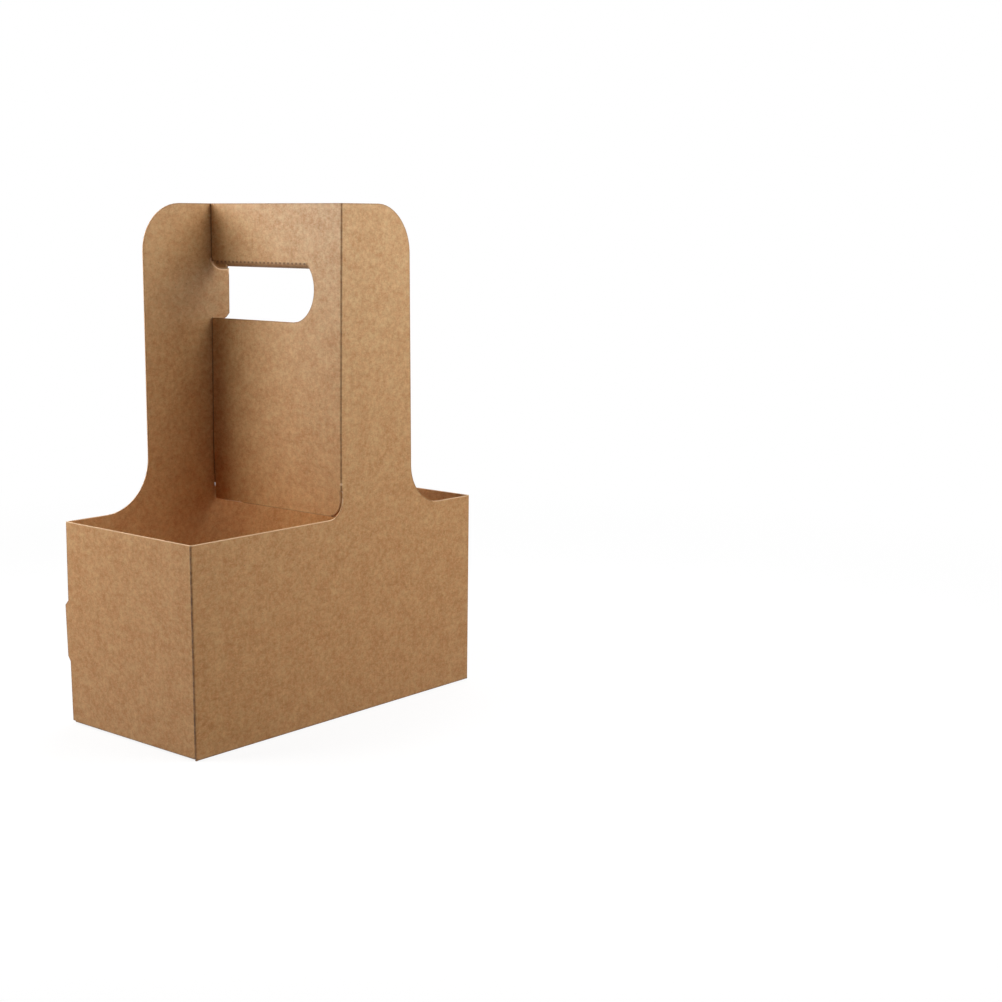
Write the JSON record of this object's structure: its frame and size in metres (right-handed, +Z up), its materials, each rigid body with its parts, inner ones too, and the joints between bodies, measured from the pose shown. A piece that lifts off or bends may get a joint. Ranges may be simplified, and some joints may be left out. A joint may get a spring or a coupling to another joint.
{
  "type": "cup carrier",
  "caption": "Folded brown board drink carrier: an open box with a cell for a cup on each side of an upright handle panel with a hand hole.",
  "frame": {"origin": "middle of the underside of the base, at the height of the surface it stands on", "axes": "+Z up, +X along the box to the end on the front wing's side, +Y across the box from the front long wall to the back long wall"},
  "size_m": [0.18, 0.0911, 0.24],
  "materials": {
    "brown_board": "matt, uncoated, unbleached fibre board with paler cut edges and darker scored folds"
  },
  "bodies": {
    "root": {"cup_carrier": "brown_board"}
  },
  "joints": []
}
